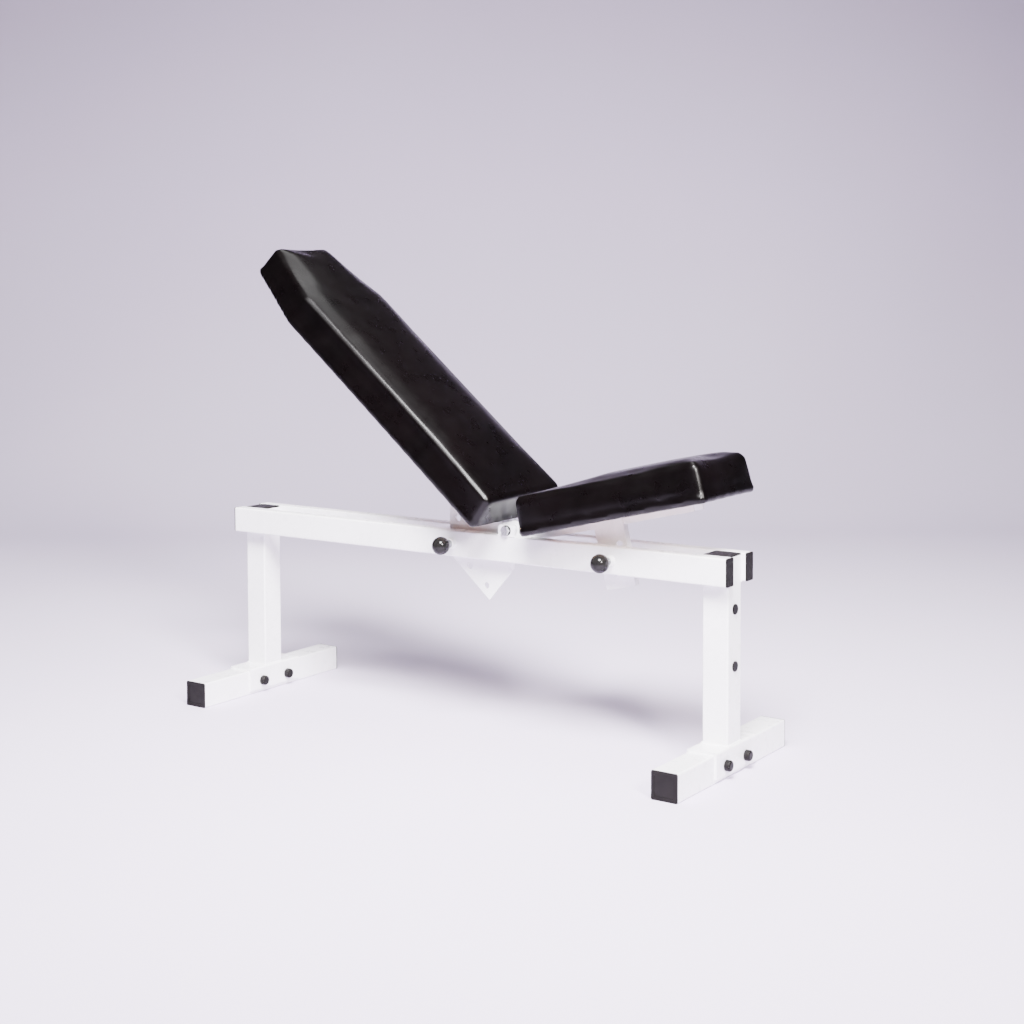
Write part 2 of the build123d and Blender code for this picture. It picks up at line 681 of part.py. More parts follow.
cushion("backrest", BACK, BACK_LOW, BACK_THICKNESS, back_outline, BACK_SCREWS)
backrest_spine()
sector_plate()
backrest_hinge_plate()
pad_screws("backrest_screws", BACK, BACK_SCREWS, BACK_LOW - BACK_SPINE_DEPTH, BACK_LOW + SCREW_TIP)

cushion("seat", SEAT, SEAT_LOW, SEAT_THICKNESS, seat_outline, SEAT_SCREWS)
seat_spine()
seat_adjuster()
sleeve_end = SEAT_SPINE_WIDTH / 2 - SEAT_SPINE_WALL
on_pivot("seat_sleeve", (-sleeve_end,), SLEEVE_R, 2 * sleeve_end)
pad_screws("seat_screws", SEAT, SEAT_SCREWS, SEAT_LOW - SEAT_SPINE_WALL, SEAT_LOW + SCREW_TIP)
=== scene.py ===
import json
import math

import bpy
import numpy as np
from mathutils import Matrix, Vector


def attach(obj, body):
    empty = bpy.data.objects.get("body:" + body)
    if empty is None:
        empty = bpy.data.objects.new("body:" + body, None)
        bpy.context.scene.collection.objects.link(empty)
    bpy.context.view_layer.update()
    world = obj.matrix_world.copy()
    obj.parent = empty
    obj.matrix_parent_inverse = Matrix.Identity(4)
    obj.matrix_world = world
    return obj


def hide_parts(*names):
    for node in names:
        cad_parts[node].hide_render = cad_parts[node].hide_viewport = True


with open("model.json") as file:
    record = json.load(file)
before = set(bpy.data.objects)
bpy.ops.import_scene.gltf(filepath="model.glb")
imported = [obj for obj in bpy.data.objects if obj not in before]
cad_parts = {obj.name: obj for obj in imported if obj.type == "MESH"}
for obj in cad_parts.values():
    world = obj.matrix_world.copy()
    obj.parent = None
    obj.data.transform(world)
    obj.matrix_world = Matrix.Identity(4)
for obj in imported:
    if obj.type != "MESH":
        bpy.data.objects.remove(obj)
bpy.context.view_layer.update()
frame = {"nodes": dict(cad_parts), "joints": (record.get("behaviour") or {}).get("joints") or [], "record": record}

# Looks of the adjustable weight bench, metres, in the CAD model's own frame: +X to the foot end,
# -Y the near side with the pull pins, +Z up. Each pad is built in the frame of its own hinge,
# x along the pad, y across the bench and z out of its top, and is then laid in place.

NODES = frame["nodes"]
SLOT_OF = {entry["node"]: entry["material_slot"] for entry in frame["record"]["subparts"]}
JOINTS = {joint["name"]: joint for joint in frame["joints"]}
MM = 0.001
TINY = 1e-9                     # keeps a division by a length from being one by nothing

# ---- the pads, as the CAD covers ----
BACKREST_TILT = 40.0            # degrees above horizontal, as modelled
SEAT_TILT = 13.5
CORNER = 13 * MM                # corners of a pad seen square on
SMALLEST_CORNER = 3 * MM        # what is left of them on a line far inside the edge
HEAD_WIDTH = 158 * MM
HEAD_TAPER = 160 * MM
SEAT_FRONT_WIDTH = 198 * MM
PROUD = 3.2 * MM                # the vinyl stands out this far over the edge of the board
BOARD_TOP = 13 * MM             # up to here it lies tight round the board
HEM_RADIUS = 2.5 * MM           # where it turns under the board
BEVEL = 8 * MM                  # slanted strip between the sides and the top
HEM_WIDTH = 25 * MM
RECESS = 1.3 * MM               # the underside inside the hem, just above the board's face
ROLL = 3.5 * MM                 # how far the padded rim hangs below the board
ROLL_INSET = 6 * MM
ROLL_WIDTH = 8 * MM
RAIL_ZONE = (54 * MM, 66 * MM)  # either side of the middle, where a flat pad lies over the rails
RAIL_GAP = 0.6 * MM             # kept between the rim and the rails
STAPLE_PITCH = 36 * MM
STAPLE_INSET = 17 * MM
STAPLE = (10 * MM, 1.2 * MM, 0.8 * MM)
STAPLE_DROP = 0.5 * MM          # its middle lies this far under the hem

# ---- how the vinyl is pulled under ----
GATHER_BAND = 10 * MM           # only the outermost strip of the pad is gathered
GATHER_CORNER = 70 * MM         # nearer a corner than this the puckers give way to pleats
PUCKER_DEPTH = 0.6 * MM
PUCKER_HEIGHT = 14 * MM         # they fade out over about this height
PLEAT_PITCH = 7 * MM
PLEAT_DEPTH = 0.9 * MM
PLEAT_HEIGHT = 15 * MM
ROLL_CORNER = 200 * MM          # the rim hangs lowest at the corners and thins over this reach
ROLL_THINNING = 0.4
ROLL_WAVE = 0.12                # share of its depth that comes and goes between staples
ROLL_HEIGHT = 12 * MM           # only the lowest part of the cover hangs with it

# ---- cloth simulation of the pads ----
VOXEL = 5 * MM
FRAMES = 20
PRESSURE = 4.0
START_PULL = 3 * MM             # how far the sides start pulled in between the corners
PULL_CORNER = 110 * MM          # nearer a corner than this they are pulled in less
PULL_BAND = 40 * MM             # the pull fades out over this distance from the edge
CROWN = 6 * MM                  # how much higher the middle of the top starts
LEAN = 3.5 * MM                 # how far the hinge end leans back, to clear the other pad
LEAN_BAND = 50 * MM             # the lean fades out over this distance from the hinge end
HINGE_REACH = 160 * MM          # nearer the hinge than this the pad swells less
BULGE_CAP = 5 * MM              # the furthest that any point may swell
STIFFNESS = {"tension": 20, "compression": 20, "shear": 8, "bending": 2}
EASING = 14                     # rounds of averaging that take the wrinkles out of the swelling

# ---- weld beads ----
X, Y, Z = Vector((1, 0, 0)), Vector((0, 1, 0)), Vector((0, 0, 1))
WELD_RADIUS = 1.8 * MM
WELD_STEP = 0.9 * MM
WELD_RIPPLE = 4                 # steps in one ripple
WELD_SIDES = 8
WELD_SWELL = 0.14               # share of the radius that a ripple adds and takes away
POST_WELD_GAP = 13 * MM         # an upright bead stops this far under the top of its post
PLATE_WELD_MARGIN = 0.1         # shares of the length that a plate and a spine have in common
PLATE_WELD_RUN = 0.25

# ---- studio ----
CAMERA_AT = (1.9014, -2.6232, 0.8874)
CAMERA_YAW = 35.02              # degrees from +Y towards -X
CAMERA_PITCH = -3.15
CAMERA_ROLL = -0.23
LENS = 58.5                     # millimetres, for the sensor width below
SENSOR_WIDTH = 36
SHIFT = (0.0154, -0.1429)
FLOOR_FRONT = -3.5              # along the camera's heading, from the middle of the bench
WALL = 3.6
WALL_TOP = 2.5
SWEEP = 1.2                     # radius of the curve from the floor to the wall
SWEEP_STEPS = 16
BACKDROP_HALF_WIDTH = 4.5
AIM = Vector((0, 0, 0.4))       # where the lights point
ROOM_COLOUR = (0.50, 0.48, 0.54, 1)
ROOM_STRENGTH = 0.13
# name, azimuth, elevation, distance, size, power in watts, spread in degrees, colour
LIGHTS = (
    ("key", 0, 52, 3.4, 1.3, 250, 95, (1.0, 0.98, 1.0)),
    ("side", 23, 27, 4.2, 0.8, 120, 100, (1.0, 0.96, 0.93)),
    ("top", 180, 75, 4.0, 2.5, 40, 120, (1, 1, 1)),
)


# ---------------------------------------------------------------- shader nodes

class Shader:
    """A Principled material whose colour, roughness and bump come from procedural nodes."""

    def __init__(self, name):
        self.material = bpy.data.materials.new(name)
        self.material.use_nodes = True
        self.tree = self.material.node_tree
        self.surface = self.tree.nodes["Principled BSDF"]
        self.place = self.node("ShaderNodeTexCoord").outputs["Object"]

    def node(self, kind, **settings):
        made = self.tree.nodes.new(kind)
        for name, value in settings.items():
            setattr(made, name, value)
        return made

    def link(self, output, target):
        self.tree.links.new(output, target)

    def set(self, **values):
        """Set constants on the Principled shader's own sockets."""
        for name, value in values.items():
            self.surface.inputs[name.replace("_", " ")].default_value = value

    def noise(self, scale, detail=3.0, stretch=(1, 1, 1)):
        mapping = self.node("ShaderNodeMapping")
        mapping.inputs["Scale"].default_value = stretch
        self.link(self.place, mapping.inputs["Vector"])
        noise = self.node("ShaderNodeTexNoise")
        noise.inputs["Scale"].default_value = scale
        noise.inputs["Detail"].default_value = detail
        self.link(mapping.outputs["Vector"], noise.inputs["Vector"])
        return noise.outputs["Fac"]

    def cells(self, scale, feature="F1"):
        cells = self.node("ShaderNodeTexVoronoi", feature=feature)
        cells.inputs["Scale"].default_value = scale
        self.link(self.place, cells.inputs["Vector"])
        return cells.outputs["Distance"]

    def ramp(self, factor, stops):
        ramp = self.node("ShaderNodeValToRGB")
        elements = ramp.color_ramp.elements
        for element, (position, colour) in zip(elements, stops):
            element.position = position
            element.color = (*colour, 1)
        for position, colour in stops[2:]:
            elements.new(position).color = (*colour, 1)
        self.link(factor, ramp.inputs["Fac"])
        return ramp.outputs["Color"]

    def spread(self, factor, low, high):
        """Stretch a texture's middle values over low to high."""
        span = self.node("ShaderNodeMapRange")
        span.inputs["From Min"].default_value = 0.3
        span.inputs["From Max"].default_value = 0.7
        span.inputs["To Min"].default_value = low
        span.inputs["To Max"].default_value = high
        self.link(factor, span.inputs["Value"])
        return span.outputs["Result"]

    def bump(self, height, distance, strength=1.0, onto=None):
        bump = self.node("ShaderNodeBump")
        bump.inputs["Distance"].default_value = distance
        bump.inputs["Strength"].default_value = strength
        self.link(height, bump.inputs["Height"])
        if onto is not None:
            self.link(onto, bump.inputs["Normal"])
        self.link(bump.outputs["Normal"], self.surface.inputs["Normal"])
        return bump.outputs["Normal"]

    def colour(self, output):
        self.link(output, self.surface.inputs["Base Color"])

    def roughness(self, output):
        self.link(output, self.surface.inputs["Roughness"])


# ---------------------------------------------------------------- materials

def white_paint():
    """Glossy white powder coat with a faint orange peel."""
    paint = Shader("white_paint")
    paint.colour(paint.ramp(paint.noise(6), [(0.35, (0.88, 0.87, 0.90)), (0.65, (0.92, 0.91, 0.94))]))
    paint.roughness(paint.spread(paint.noise(40), 0.24, 0.34))
    paint.set(Coat_Weight=0.35, Coat_Roughness=0.12, Specular_IOR_Level=0.5)
    peel = paint.bump(paint.noise(420, 1), 0.05 * MM, 0.6)
    paint.bump(paint.noise(55, 2), 0.15 * MM, 0.25, onto=peel)
    return paint.material


def black_vinyl():
    """Black upholstery vinyl: near-black brown, fine pebbled grain, a soft waxy gloss."""
    vinyl = Shader("black_vinyl")
    dark, light = (0.0007, 0.0004, 0.0005), (0.0016, 0.0009, 0.0011)
    vinyl.colour(vinyl.ramp(vinyl.noise(9, 5), [(0.3, dark), (0.7, light)]))
    vinyl.roughness(vinyl.spread(vinyl.noise(30, 4), 0.25, 0.35))
    vinyl.set(IOR=1.38, Specular_IOR_Level=0.3, Coat_Weight=0.04, Coat_Roughness=0.15)
    grain = vinyl.bump(vinyl.cells(600), 0.04 * MM, 0.25)
    vinyl.bump(vinyl.noise(140, 2), 0.06 * MM, 0.3, onto=grain)
    return vinyl.material


def black_plastic():
    """Moulded polyethylene of the tube plugs and bolt covers, dark brown-grey with a fine spark texture."""
    plastic = Shader("black_plastic")
    dark, light = (0.0032, 0.0026, 0.0025), (0.0060, 0.0050, 0.0047)
    plastic.colour(plastic.ramp(plastic.noise(60), [(0.3, dark), (0.7, light)]))
    plastic.roughness(plastic.spread(plastic.noise(150), 0.42, 0.58))
    plastic.set(Specular_IOR_Level=0.15)
    plastic.bump(plastic.noise(1800, 2), 0.06 * MM, 0.5)
    return plastic.material


def knob_plastic():
    """Polished black phenolic of the ball knobs."""
    knob = Shader("knob_plastic")
    knob.colour(knob.ramp(knob.noise(80), [(0.3, (0.006, 0.006, 0.006)), (0.7, (0.012, 0.011, 0.011))]))
    knob.roughness(knob.spread(knob.noise(300), 0.05, 0.10))
    knob.set(IOR=1.35, Specular_IOR_Level=0.3, Coat_Weight=0.03, Coat_Roughness=0.03)
    knob.bump(knob.noise(700, 1), 0.01 * MM, 0.2)
    return knob.material


def steel(name, light, dark, smooth, rough):
    """Plated steel with fine turning marks."""
    metal = Shader(name)
    metal.colour(metal.ramp(metal.noise(90, 4), [(0.3, dark), (0.7, light)]))
    metal.roughness(metal.spread(metal.noise(500, 2, (1, 6, 1)), smooth, rough))
    metal.set(Metallic=1.0)
    metal.bump(metal.noise(900, 2, (1, 5, 1)), 0.02 * MM, 0.4)
    return metal.material


def plywood():
    """Birch ply under the pads, its grain along the pad."""
    wood = Shader("plywood")
    figure = wood.noise(22, 6, (0.12, 1, 1))
    wood.colour(wood.ramp(figure, [(0.3, (0.40, 0.25, 0.13)), (0.7, (0.62, 0.44, 0.26))]))
    wood.roughness(wood.spread(wood.noise(60), 0.55, 0.75))
    wood.bump(wood.noise(260, 4, (0.1, 1, 1)), 0.2 * MM, 0.5)
    return wood.material


MATERIALS = {
    "white_paint": white_paint(),
    "black_vinyl": black_vinyl(),
    "black_plastic": black_plastic(),
    "knob_plastic": knob_plastic(),
    "zinc_steel": steel("zinc_steel", (0.72, 0.73, 0.75), (0.55, 0.56, 0.58), 0.22, 0.38),
    "spring_steel": steel("spring_steel", (0.42, 0.42, 0.44), (0.30, 0.30, 0.32), 0.28, 0.42),
    "plywood": plywood(),
}
MATERIALS["pad_foam"] = MATERIALS["black_vinyl"]


# ---------------------------------------------------------------- pieces

def mesh_piece(name, vertices, faces):
    """A mesh object in the CAD model's own frame."""
    mesh = bpy.data.meshes.new(name)
    mesh.from_pydata([tuple(v) for v in vertices], [], faces)
    mesh.validate()
    piece = bpy.data.objects.new(name, mesh)
    bpy.context.scene.collection.objects.link(piece)
    return piece


def fit_piece(piece, body, slot, smooth=True):
    """Let a finished piece ride on a body and take a slot's material."""
    if smooth:
        piece.data.shade_smooth()
    piece.data.materials.clear()
    piece.data.materials.append(MATERIALS[slot])
    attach(piece, body)


def dress_cad_nodes():
    """Give each CAD node its slot's procedural material."""
    for name, node in NODES.items():
        node.data.materials.clear()
        node.data.materials.append(MATERIALS[SLOT_OF[name]])


def apply_modifiers(piece):
    """Replace a piece's mesh by what its modifiers make of it now."""
    evaluated = piece.evaluated_get(bpy.context.evaluated_depsgraph_get())
    mesh = bpy.data.meshes.new_from_object(evaluated)
    piece.modifiers.clear()
    piece.data = mesh


def coordinates(piece):
    flat = np.empty(3 * len(piece.data.vertices))
    piece.data.vertices.foreach_get("co", flat)
    return flat.reshape(-1, 3)


def set_coordinates(piece, points):
    piece.data.vertices.foreach_set("co", np.ascontiguousarray(points, float).ravel())
    piece.data.update()


# ---------------------------------------------------------------- outlines of the pads

def rounded(corners, radius, steps=6):
    """A closed outline through corners, each turned into an arc; steps is the arc's segments."""
    outline = []
    count = len(corners)
    for i, corner in enumerate(corners):
        corner = Vector(corner)
        before = (Vector(corners[i - 1]) - corner).normalized()
        after = (Vector(corners[(i + 1) % count]) - corner).normalized()
        half = before.angle(after) / 2
        centre = corner + (before + after).normalized() * radius / math.sin(half)
        start = corner + before * radius / math.tan(half) - centre
        turn = start.angle_signed(corner + after * radius / math.tan(half) - centre)
        for step in range(steps + 1):
            outline.append(centre + Matrix.Rotation(-turn * step / steps, 2) @ start)
    return np.array([tuple(point) for point in outline])


class Pad:
    """One pad: where it lies and its outline seen square on, from its CAD cover."""

    def __init__(self, body, tilt, corners_of):
        hinge = JOINTS[f"{body}_tilt"]
        turn = Matrix.Rotation(math.radians(tilt), 4, Vector(hinge["axis"]))
        self.body = body
        self.lay = Matrix.Translation(hinge["pos_m"]) @ turn
        cover = NODES[f"{body}_cover"].data
        local = np.array([tuple(self.lay.inverted() @ vertex.co) for vertex in cover.vertices])
        self.low = local.min(axis=0)
        self.high = local.max(axis=0)
        self.thickness = self.high[2] - self.low[2]
        lowest = math.radians(tilt + hinge["range_deg"][0])
        rail_top = max(vertex.co.z for vertex in NODES["near_rail"].data.vertices)
        self.near_end = min(abs(self.low[0]), abs(self.high[0]))
        self.away = 1 if self.low[0] > 0 else -1
        underside = hinge["pos_m"][2] + self.near_end * math.sin(lowest) + self.low[2] * math.cos(lowest)
        self.clearance = underside - rail_top
        self.lay = self.lay @ Matrix.Translation((0, 0, self.low[2]))
        self.corners_of = corners_of

    def from_hinge(self, points):
        """How far each point lies from the pad's hinge end."""
        return np.abs(points[:, 0]) - self.near_end

    def corners(self, inset=0.0):
        return self.corners_of(self.low, self.high, inset)

    def outline(self, inset=0.0):
        return rounded(self.corners(inset), max(CORNER - inset, SMALLEST_CORNER))


def backrest_corners(low, high, inset):
    """Six corners: square at the hinge, narrowing to the head."""
    head, foot, half = low[0] + inset, high[0] - inset, high[1] - inset
    shoulder, head_half = low[0] + HEAD_TAPER, HEAD_WIDTH / 2 - inset
    return [
        (foot, -half), (foot, half), (shoulder, half),
        (head, head_half), (head, -head_half), (shoulder, -half),
    ]


def seat_corners(low, high, inset):
    """Four corners: wide behind, narrower in front."""
    rear, front = low[0] + inset, high[0] - inset
    half, front_half = high[1] - inset, SEAT_FRONT_WIDTH / 2 - inset
    return [(rear, half), (rear, -half), (front, -front_half), (front, front_half)]


def nearest_on(outline, points):
    """For each point: its distance inside the outline, the length along it, and the way out."""
    start, end = outline, np.roll(outline, -1, axis=0)
    edge = end - start
    length = np.linalg.norm(edge, axis=1)
    offset = points[:, None, :] - start[None]
    along = np.clip((offset * edge).sum(2) / np.maximum(length**2, TINY**2), 0, 1)
    gap = offset - along[..., None] * edge
    distance = np.linalg.norm(gap, axis=2)
    best = distance.argmin(axis=1)
    pick = np.arange(len(points))
    travelled = np.concatenate([[0], np.cumsum(length)[:-1]])[best] + along[pick, best] * length[best]
    side = edge[:, 0] * gap[..., 1] - edge[:, 1] * gap[..., 0]
    inside = np.where(side[pick, best] > 0, 1.0, -1.0) * distance[pick, best]
    outward = np.stack([edge[best, 1], -edge[best, 0]], axis=1) / np.maximum(length[best], TINY)[:, None]
    return inside, travelled, outward


def away_from_corners(pad, points, reach):
    """0 at the pad's corners, 1 at a distance of reach from them and beyond."""
    distance = np.linalg.norm(points[:, None, :2] - np.array(pad.corners())[None], axis=2).min(axis=1)
    return np.clip(distance / reach, 0, 1)


def waves(travelled, pitch):
    """1 at every whole pitch along the outline, 0 halfway between."""
    return 0.5 + 0.5 * np.cos(travelled * 2 * math.pi / pitch)


# ---------------------------------------------------------------- upholstery

def pad_block(pad):
    """The pad before it swells: a closed block, proud of the board below and bevelled on top."""
    top = pad.thickness
    levels = [
        (HEM_RADIUS - PROUD, 0.0), (-PROUD, HEM_RADIUS), (-PROUD, BOARD_TOP / 2),
        (0.0, BOARD_TOP), (0.0, top - BEVEL), (BEVEL, top),
    ]
    rings = [[(x, y, z) for x, y in pad.outline(inset)] for inset, z in levels]
    count = len(rings[0])
    vertices = [vertex for ring in rings for vertex in ring]
    faces = [list(range(count))[::-1], [count * (len(rings) - 1) + i for i in range(count)]]
    for level in range(len(rings) - 1):
        for i in range(count):
            low, next_low = count * level + i, count * level + (i + 1) % count
            faces.append([low, next_low, next_low + count, low + count])
    return vertices, faces


def eased(piece, field):
    """A field over the vertices, averaged with its neighbours along the mesh's edges."""
    ends = np.empty(2 * len(piece.data.edges), dtype=int)
    piece.data.edges.foreach_get("vertices", ends)
    ends = ends.reshape(-1, 2)
    count = np.bincount(ends.ravel(), minlength=len(field))[:, None]
    for _ in range(EASING):
        total = np.zeros_like(field)
        np.add.at(total, ends[:, 0], field[ends[:, 1]])
        np.add.at(total, ends[:, 1], field[ends[:, 0]])
        field = (field + total / count) / 2
    return field


def start_shape(piece, pad):
    """Draw the sides in, crown the top and lean the hinge end back before the cover swells."""
    points = coordinates(piece)
    inside, _, outward = nearest_on(pad.outline(), points[:, :2])
    from_hinge = pad.from_hinge(points)
    rise = np.clip((points[:, 2] - BOARD_TOP) / (pad.thickness - BOARD_TOP), 0, 1)
    pull = away_from_corners(pad, points, PULL_CORNER) ** 2
    pull *= np.sin(rise * math.pi) * np.clip(1 - inside / PULL_BAND, 0, 1)
    dome = 1 - (1 - np.clip(inside / pad.high[1], 0, 1)) ** 2
    dome *= np.clip(from_hinge / HINGE_REACH, 0, 1) ** 2
    points[:, :2] -= outward * (START_PULL * pull)[:, None]
    points[:, 0] += pad.away * LEAN * rise * np.clip(1 - from_hinge / LEAN_BAND, 0, 1)
    points[:, 2] += CROWN * dome * rise
    set_coordinates(piece, points)


def swell(piece, pad):
    """Let the cover swell under pressure, held fast round the board, as foam fills vinyl."""
    points = coordinates(piece)
    held = piece.vertex_groups.new(name="held")
    held.add([int(i) for i in np.flatnonzero(points[:, 2] < BOARD_TOP)], 1.0, "REPLACE")
    cloth = piece.modifiers.new("cloth", "CLOTH")
    settings = cloth.settings
    settings.vertex_group_mass = "held"
    settings.use_pressure = True
    settings.uniform_pressure_force = PRESSURE
    settings.effector_weights.gravity = 0
    for way, stiffness in STIFFNESS.items():
        setattr(settings, f"{way}_stiffness", stiffness)
    cloth.collision_settings.use_collision = False
    cloth.point_cache.frame_start = 1
    cloth.point_cache.frame_end = FRAMES
    for step in range(1, FRAMES + 1):
        bpy.context.scene.frame_set(step)
    apply_modifiers(piece)
    piece.vertex_groups.clear()
    moved = coordinates(piece) - points
    far = np.linalg.norm(moved, axis=1)
    moved *= (np.minimum(far, BULGE_CAP) / np.maximum(far, TINY))[:, None]
    moved *= np.clip(pad.from_hinge(points) / HINGE_REACH, 0, 1)[:, None]
    set_coordinates(piece, points + eased(piece, moved))
    bpy.context.scene.frame_set(1)


def gather(piece, pad):
    """Puckers above the staples and pleats at the corners, where the vinyl is pulled under."""
    points = coordinates(piece)
    inside, travelled, outward = nearest_on(pad.outline(), points[:, :2])
    side = np.clip(1 - inside / GATHER_BAND, 0, 1)
    straight = away_from_corners(pad, points, GATHER_CORNER)
    height = np.maximum(points[:, 2] - HEM_RADIUS, 0)
    pucker = PUCKER_DEPTH * waves(travelled, STAPLE_PITCH) * straight**2 * np.exp(-height / PUCKER_HEIGHT)
    pleat = PLEAT_DEPTH * waves(travelled, PLEAT_PITCH) * (1 - straight) ** 4 * np.exp(-height / PLEAT_HEIGHT)
    points[:, :2] -= outward * ((pucker + pleat) * side)[:, None]
    set_coordinates(piece, points)


def hang_rim(piece, pad):
    """Let the padded rim hang a little under the board, and leave the board bare inside the hem."""
    points = coordinates(piece)
    inside, travelled, _ = nearest_on(pad.outline(), points[:, :2])
    clear = np.clip((np.abs(points[:, 1]) - RAIL_ZONE[0]) / (RAIL_ZONE[1] - RAIL_ZONE[0]), 0, 1)
    over_rails = min(max(pad.clearance - RAIL_GAP, 0), ROLL)
    depth = over_rails + (ROLL - over_rails) * clear
    thinner = ROLL_THINNING * away_from_corners(pad, points, ROLL_CORNER)
    depth *= 1 - thinner - ROLL_WAVE * waves(travelled, STAPLE_PITCH)
    across_rim = np.exp(-(((inside - ROLL_INSET) / ROLL_WIDTH) ** 2))
    low = np.clip(1 - points[:, 2] / ROLL_HEIGHT, 0, 1)
    bare = (inside > HEM_WIDTH) & (points[:, 2] < BOARD_TOP / 2)
    points[:, 2] -= depth * across_rim * low
    points[bare, 2] = RECESS
    set_coordinates(piece, points)


def make_cushion(pad):
    """The upholstered cushion of one pad, in place of its CAD cover and foam."""
    piece = mesh_piece(f"{pad.body}_cushion", *pad_block(pad))
    remesh = piece.modifiers.new("remesh", "REMESH")
    remesh.mode = "VOXEL"
    remesh.voxel_size = VOXEL
    apply_modifiers(piece)
    start_shape(piece, pad)
    swell(piece, pad)
    piece.modifiers.new("subdivision", "SUBSURF").levels = 1
    apply_modifiers(piece)
    gather(piece, pad)
    hang_rim(piece, pad)
    piece.data.transform(pad.lay)
    fit_piece(piece, pad.body, "black_vinyl")
    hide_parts(f"{pad.body}_cover", f"{pad.body}_foam")


def box(centre, along, width, size):
    """Vertices and faces of a box lying along one direction."""
    length, breadth, height = size
    vertices = [
        centre + along * (i * length / 2) + width * (j * breadth / 2) + Vector((0, 0, k * height / 2))
        for k in (-1, 1) for i, j in ((-1, -1), (1, -1), (1, 1), (-1, 1))
    ]
    faces = [(3, 2, 1, 0), (4, 5, 6, 7), (0, 1, 5, 4), (1, 2, 6, 5), (2, 3, 7, 6), (3, 0, 4, 7)]
    return vertices, faces


def make_staples(pad):
    """The staples that hold the hem to the underside of the board, clear of the rails."""
    line = pad.outline(STAPLE_INSET)
    vertices, faces = [], []
    carried = STAPLE_PITCH / 2
    for start, end in zip(line, np.roll(line, -1, axis=0)):
        length = float(np.linalg.norm(end - start))
        along = Vector((*(end - start) / max(length, TINY), 0))
        while carried < length:
            spot = Vector((*start, -STAPLE_DROP)) + along * carried
            carried += STAPLE_PITCH
            if abs(spot.y) < RAIL_ZONE[1]:
                continue
            corners, sides = box(spot, along, Vector((-along.y, along.x, 0)), STAPLE)
            faces += [[len(vertices) + i for i in side] for side in sides]
            vertices += [pad.lay @ corner for corner in corners]
        carried -= length
    fit_piece(mesh_piece(f"{pad.body}_staples", vertices, faces), pad.body, "zinc_steel", smooth=False)


# ---------------------------------------------------------------- welds

def bead(path, up, radius=WELD_RADIUS):
    """Vertices and faces of one weld bead along a path, rippled as the puddle froze."""
    path = [Vector(point) for point in path]
    points = [path[0]]
    for start, end in zip(path, path[1:]):
        steps = max(1, round((end - start).length / WELD_STEP))
        points += [start.lerp(end, step / steps) for step in range(1, steps + 1)]
    vertices, faces = [], []
    for i, point in enumerate(points):
        ahead = points[min(i + 1, len(points) - 1)] - points[max(i - 1, 0)]
        side = ahead.normalized().cross(up)
        swollen = radius * (1 + WELD_SWELL * math.sin(i * 2 * math.pi / WELD_RIPPLE))
        for k in range(WELD_SIDES):
            turn = 2 * math.pi * k / WELD_SIDES
            vertices.append(point + (side * math.cos(turn) + up * math.sin(turn)) * swollen)
    for i in range(len(points) - 1):
        for k in range(WELD_SIDES):
            low, high = WELD_SIDES * i + k, WELD_SIDES * i + (k + 1) % WELD_SIDES
            faces.append([low, high, high + WELD_SIDES, low + WELD_SIDES])
    last = WELD_SIDES * (len(points) - 1)
    faces += [list(range(WELD_SIDES)), [last + k for k in range(WELD_SIDES)][::-1]]
    return vertices, faces


def make_welds(body, beads, lay):
    """All the weld beads of one body as a single painted piece."""
    vertices, faces = [], []
    for path, up in beads:
        ring_vertices, ring_faces = bead(path, up)
        faces += [[len(vertices) + i for i in face] for face in ring_faces]
        vertices += [lay @ vertex for vertex in ring_vertices]
    fit_piece(mesh_piece(f"{body}_welds", vertices, faces), body, "white_paint")


def box_of(name, lay=Matrix.Identity(4)):
    """Lowest and highest corner of a CAD node, in the CAD model's own frame or in another one."""
    back = lay.inverted()
    points = [back @ vertex.co for vertex in NODES[name].data.vertices]
    return [Vector([pick(p[axis] for p in points) for axis in range(3)]) for pick in (min, max)]


def loop(low, high, z):
    """Closed rectangular path round two corners at one height."""
    corners = [(low.x, low.y, z), (high.x, low.y, z), (high.x, high.y, z), (low.x, high.y, z)]
    return corners + corners[:1]


def circle(centre, radius, steps=40):
    """Closed path round an axis that lies along Y."""
    turns = [2 * math.pi * step / steps for step in range(steps + 1)]
    return [centre + Vector((radius * math.cos(t), 0, radius * math.sin(t))) for t in turns]


def frame_beads():
    """Posts to saddles and rails, ears to rails, and the pin barrels to the near rail."""
    beads = []
    rail_low = box_of("near_rail")[0]
    for end in ("front", "rear"):
        low, high = box_of(f"{end}_post")
        beads.append((loop(low, high, low.z), Z))
        for y in (low.y, high.y):
            beads.append(([(low.x, y, rail_low.z), (high.x, y, rail_low.z)], Z))
            for x in (low.x, high.x):
                beads.append(([(x, y, rail_low.z), (x, y, high.z - POST_WELD_GAP)], X))
    for side in ("near", "far"):
        low, high = box_of(f"{side}_ear")
        beads.append((loop(low, high, low.z), Z))
    for pin in ("backrest", "seat"):
        low, high = box_of(f"{pin}_pin_barrel")
        middle = (low + high) / 2
        middle.y = rail_low.y
        beads.append((circle(middle, (high.z - low.z) / 2), Y))
    return beads


def plate_beads(plate, spine, lay):
    """Two runs of bead where a plate lies against the near side of a spine, at the spine's lower edge."""
    plate_low, plate_high = box_of(plate, lay)
    spine_low, spine_high = box_of(spine, lay)
    start, end = max(plate_low.x, spine_low.x), min(plate_high.x, spine_high.x)
    margin, run = (end - start) * PLATE_WELD_MARGIN, (end - start) * PLATE_WELD_RUN
    starts = (start + margin, end - margin - run)
    return [([(x, spine_low.y, spine_low.z), (x + run, spine_low.y, spine_low.z)], Z) for x in starts]


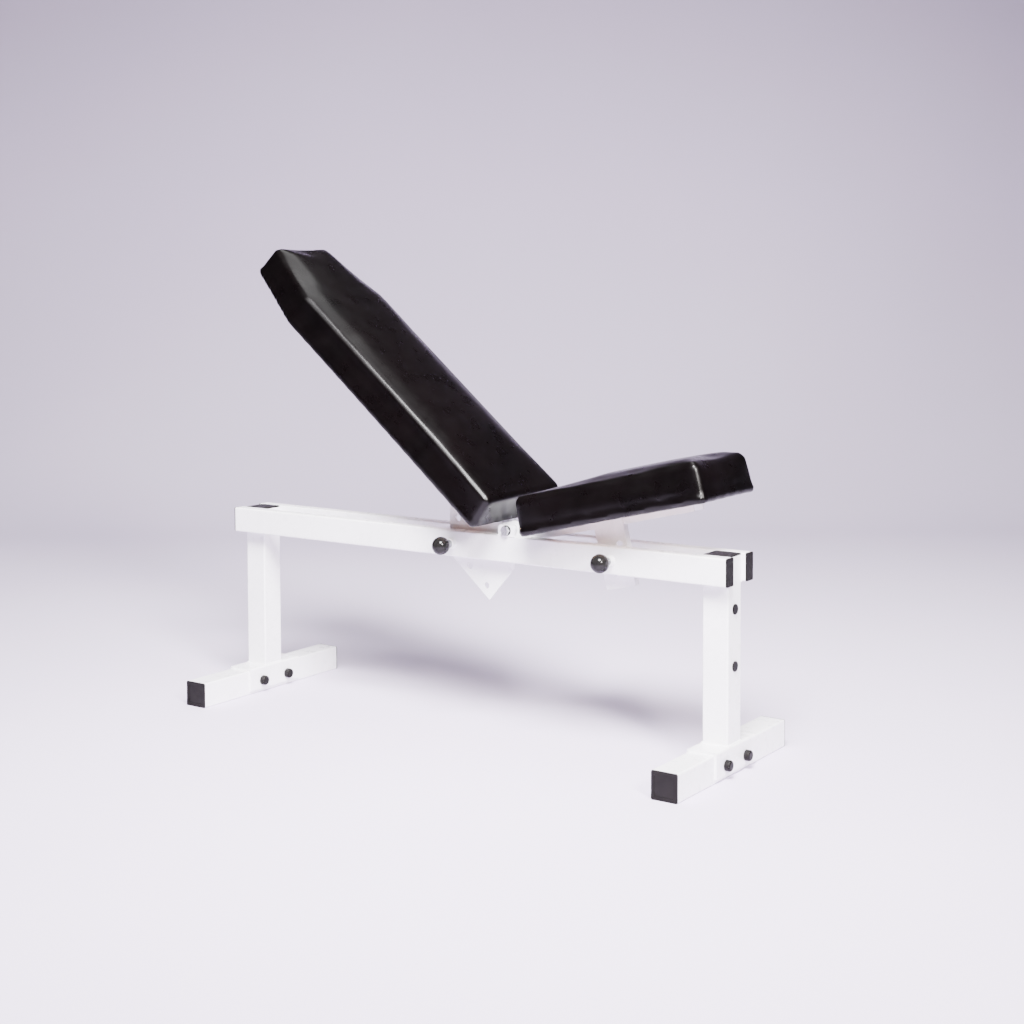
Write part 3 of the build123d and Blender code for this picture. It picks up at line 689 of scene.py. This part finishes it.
BACKREST = Pad("backrest", BACKREST_TILT, backrest_corners)
SEAT = Pad("seat", SEAT_TILT, seat_corners)
dress_cad_nodes()
for cushion in (BACKREST, SEAT):
    make_cushion(cushion)
    make_staples(cushion)
make_welds("frame", frame_beads(), Matrix.Identity(4))
make_welds("backrest", plate_beads("sector_plate", "backrest_spine", BACKREST.lay), BACKREST.lay)
make_welds("seat", plate_beads("seat_adjuster", "seat_spine", SEAT.lay), SEAT.lay)


# ---------------------------------------------------------------- studio

def make_camera():
    camera = bpy.data.objects.new("camera", bpy.data.cameras.new("camera"))
    bpy.context.scene.collection.objects.link(camera)
    camera.data.lens = LENS
    camera.data.sensor_width = SENSOR_WIDTH
    camera.data.shift_x, camera.data.shift_y = SHIFT
    turn = Matrix.Rotation(math.radians(CAMERA_YAW), 4, "Z")
    tip = Matrix.Rotation(math.radians(90 + CAMERA_PITCH), 4, "X")
    roll = Matrix.Rotation(math.radians(CAMERA_ROLL), 4, "Z")
    camera.matrix_world = Matrix.Translation(CAMERA_AT) @ turn @ tip @ roll
    bpy.context.scene.camera = camera


def make_backdrop():
    """Pale floor that curves up into a wall behind the bench, as seen by the camera."""
    away = Vector((-math.sin(math.radians(CAMERA_YAW)), math.cos(math.radians(CAMERA_YAW)), 0))
    across = Vector((away.y, -away.x, 0))
    profile = [(FLOOR_FRONT, 0.0), (WALL - SWEEP, 0.0)]
    for step in range(1, SWEEP_STEPS + 1):
        turn = step / SWEEP_STEPS * math.pi / 2
        profile.append((WALL - SWEEP + SWEEP * math.sin(turn), SWEEP * (1 - math.cos(turn))))
    profile.append((WALL, WALL_TOP))
    mesh = bpy.data.meshes.new("backdrop")
    sides = (-BACKDROP_HALF_WIDTH, BACKDROP_HALF_WIDTH)
    vertices = [away * d + across * side + Vector((0, 0, z)) for d, z in profile for side in sides]
    faces = [[2 * i, 2 * i + 1, 2 * i + 3, 2 * i + 2] for i in range(len(profile) - 1)]
    mesh.from_pydata([tuple(v) for v in vertices], [], faces)
    mesh.shade_smooth()
    paper = Shader("backdrop_paper")
    paper.colour(paper.ramp(paper.noise(0.7), [(0.3, (0.66, 0.58, 0.76)), (0.7, (0.70, 0.62, 0.80))]))
    paper.set(Roughness=0.9, Specular_IOR_Level=0.1)
    mesh.materials.append(paper.material)
    backdrop = bpy.data.objects.new("backdrop", mesh)
    bpy.context.scene.collection.objects.link(backdrop)


def area_light(name, azimuth, elevation, distance, size, power, spread, colour):
    """A square soft light aimed at the bench; azimuth is from the camera's side, to its right."""
    turn = math.radians(CAMERA_YAW + azimuth)
    up = math.radians(elevation)
    way = Vector((math.sin(turn) * math.cos(up), -math.cos(turn) * math.cos(up), math.sin(up)))
    light = bpy.data.lights.new(name, "AREA")
    light.shape = "SQUARE"
    light.size = size
    light.energy = power
    light.spread = math.radians(spread)
    light.color = colour
    lamp = bpy.data.objects.new(name, light)
    lamp.location = AIM + way * distance
    lamp.rotation_mode = "QUATERNION"
    lamp.rotation_quaternion = (-way).to_track_quat("-Z", "Y")
    bpy.context.scene.collection.objects.link(lamp)


def make_lights():
    for settings in LIGHTS:
        area_light(*settings)
    world = bpy.data.worlds.new("room")
    world.use_nodes = True
    world.node_tree.nodes["Background"].inputs["Color"].default_value = ROOM_COLOUR
    world.node_tree.nodes["Background"].inputs["Strength"].default_value = ROOM_STRENGTH
    bpy.context.scene.world = world


make_camera()
make_backdrop()
make_lights()
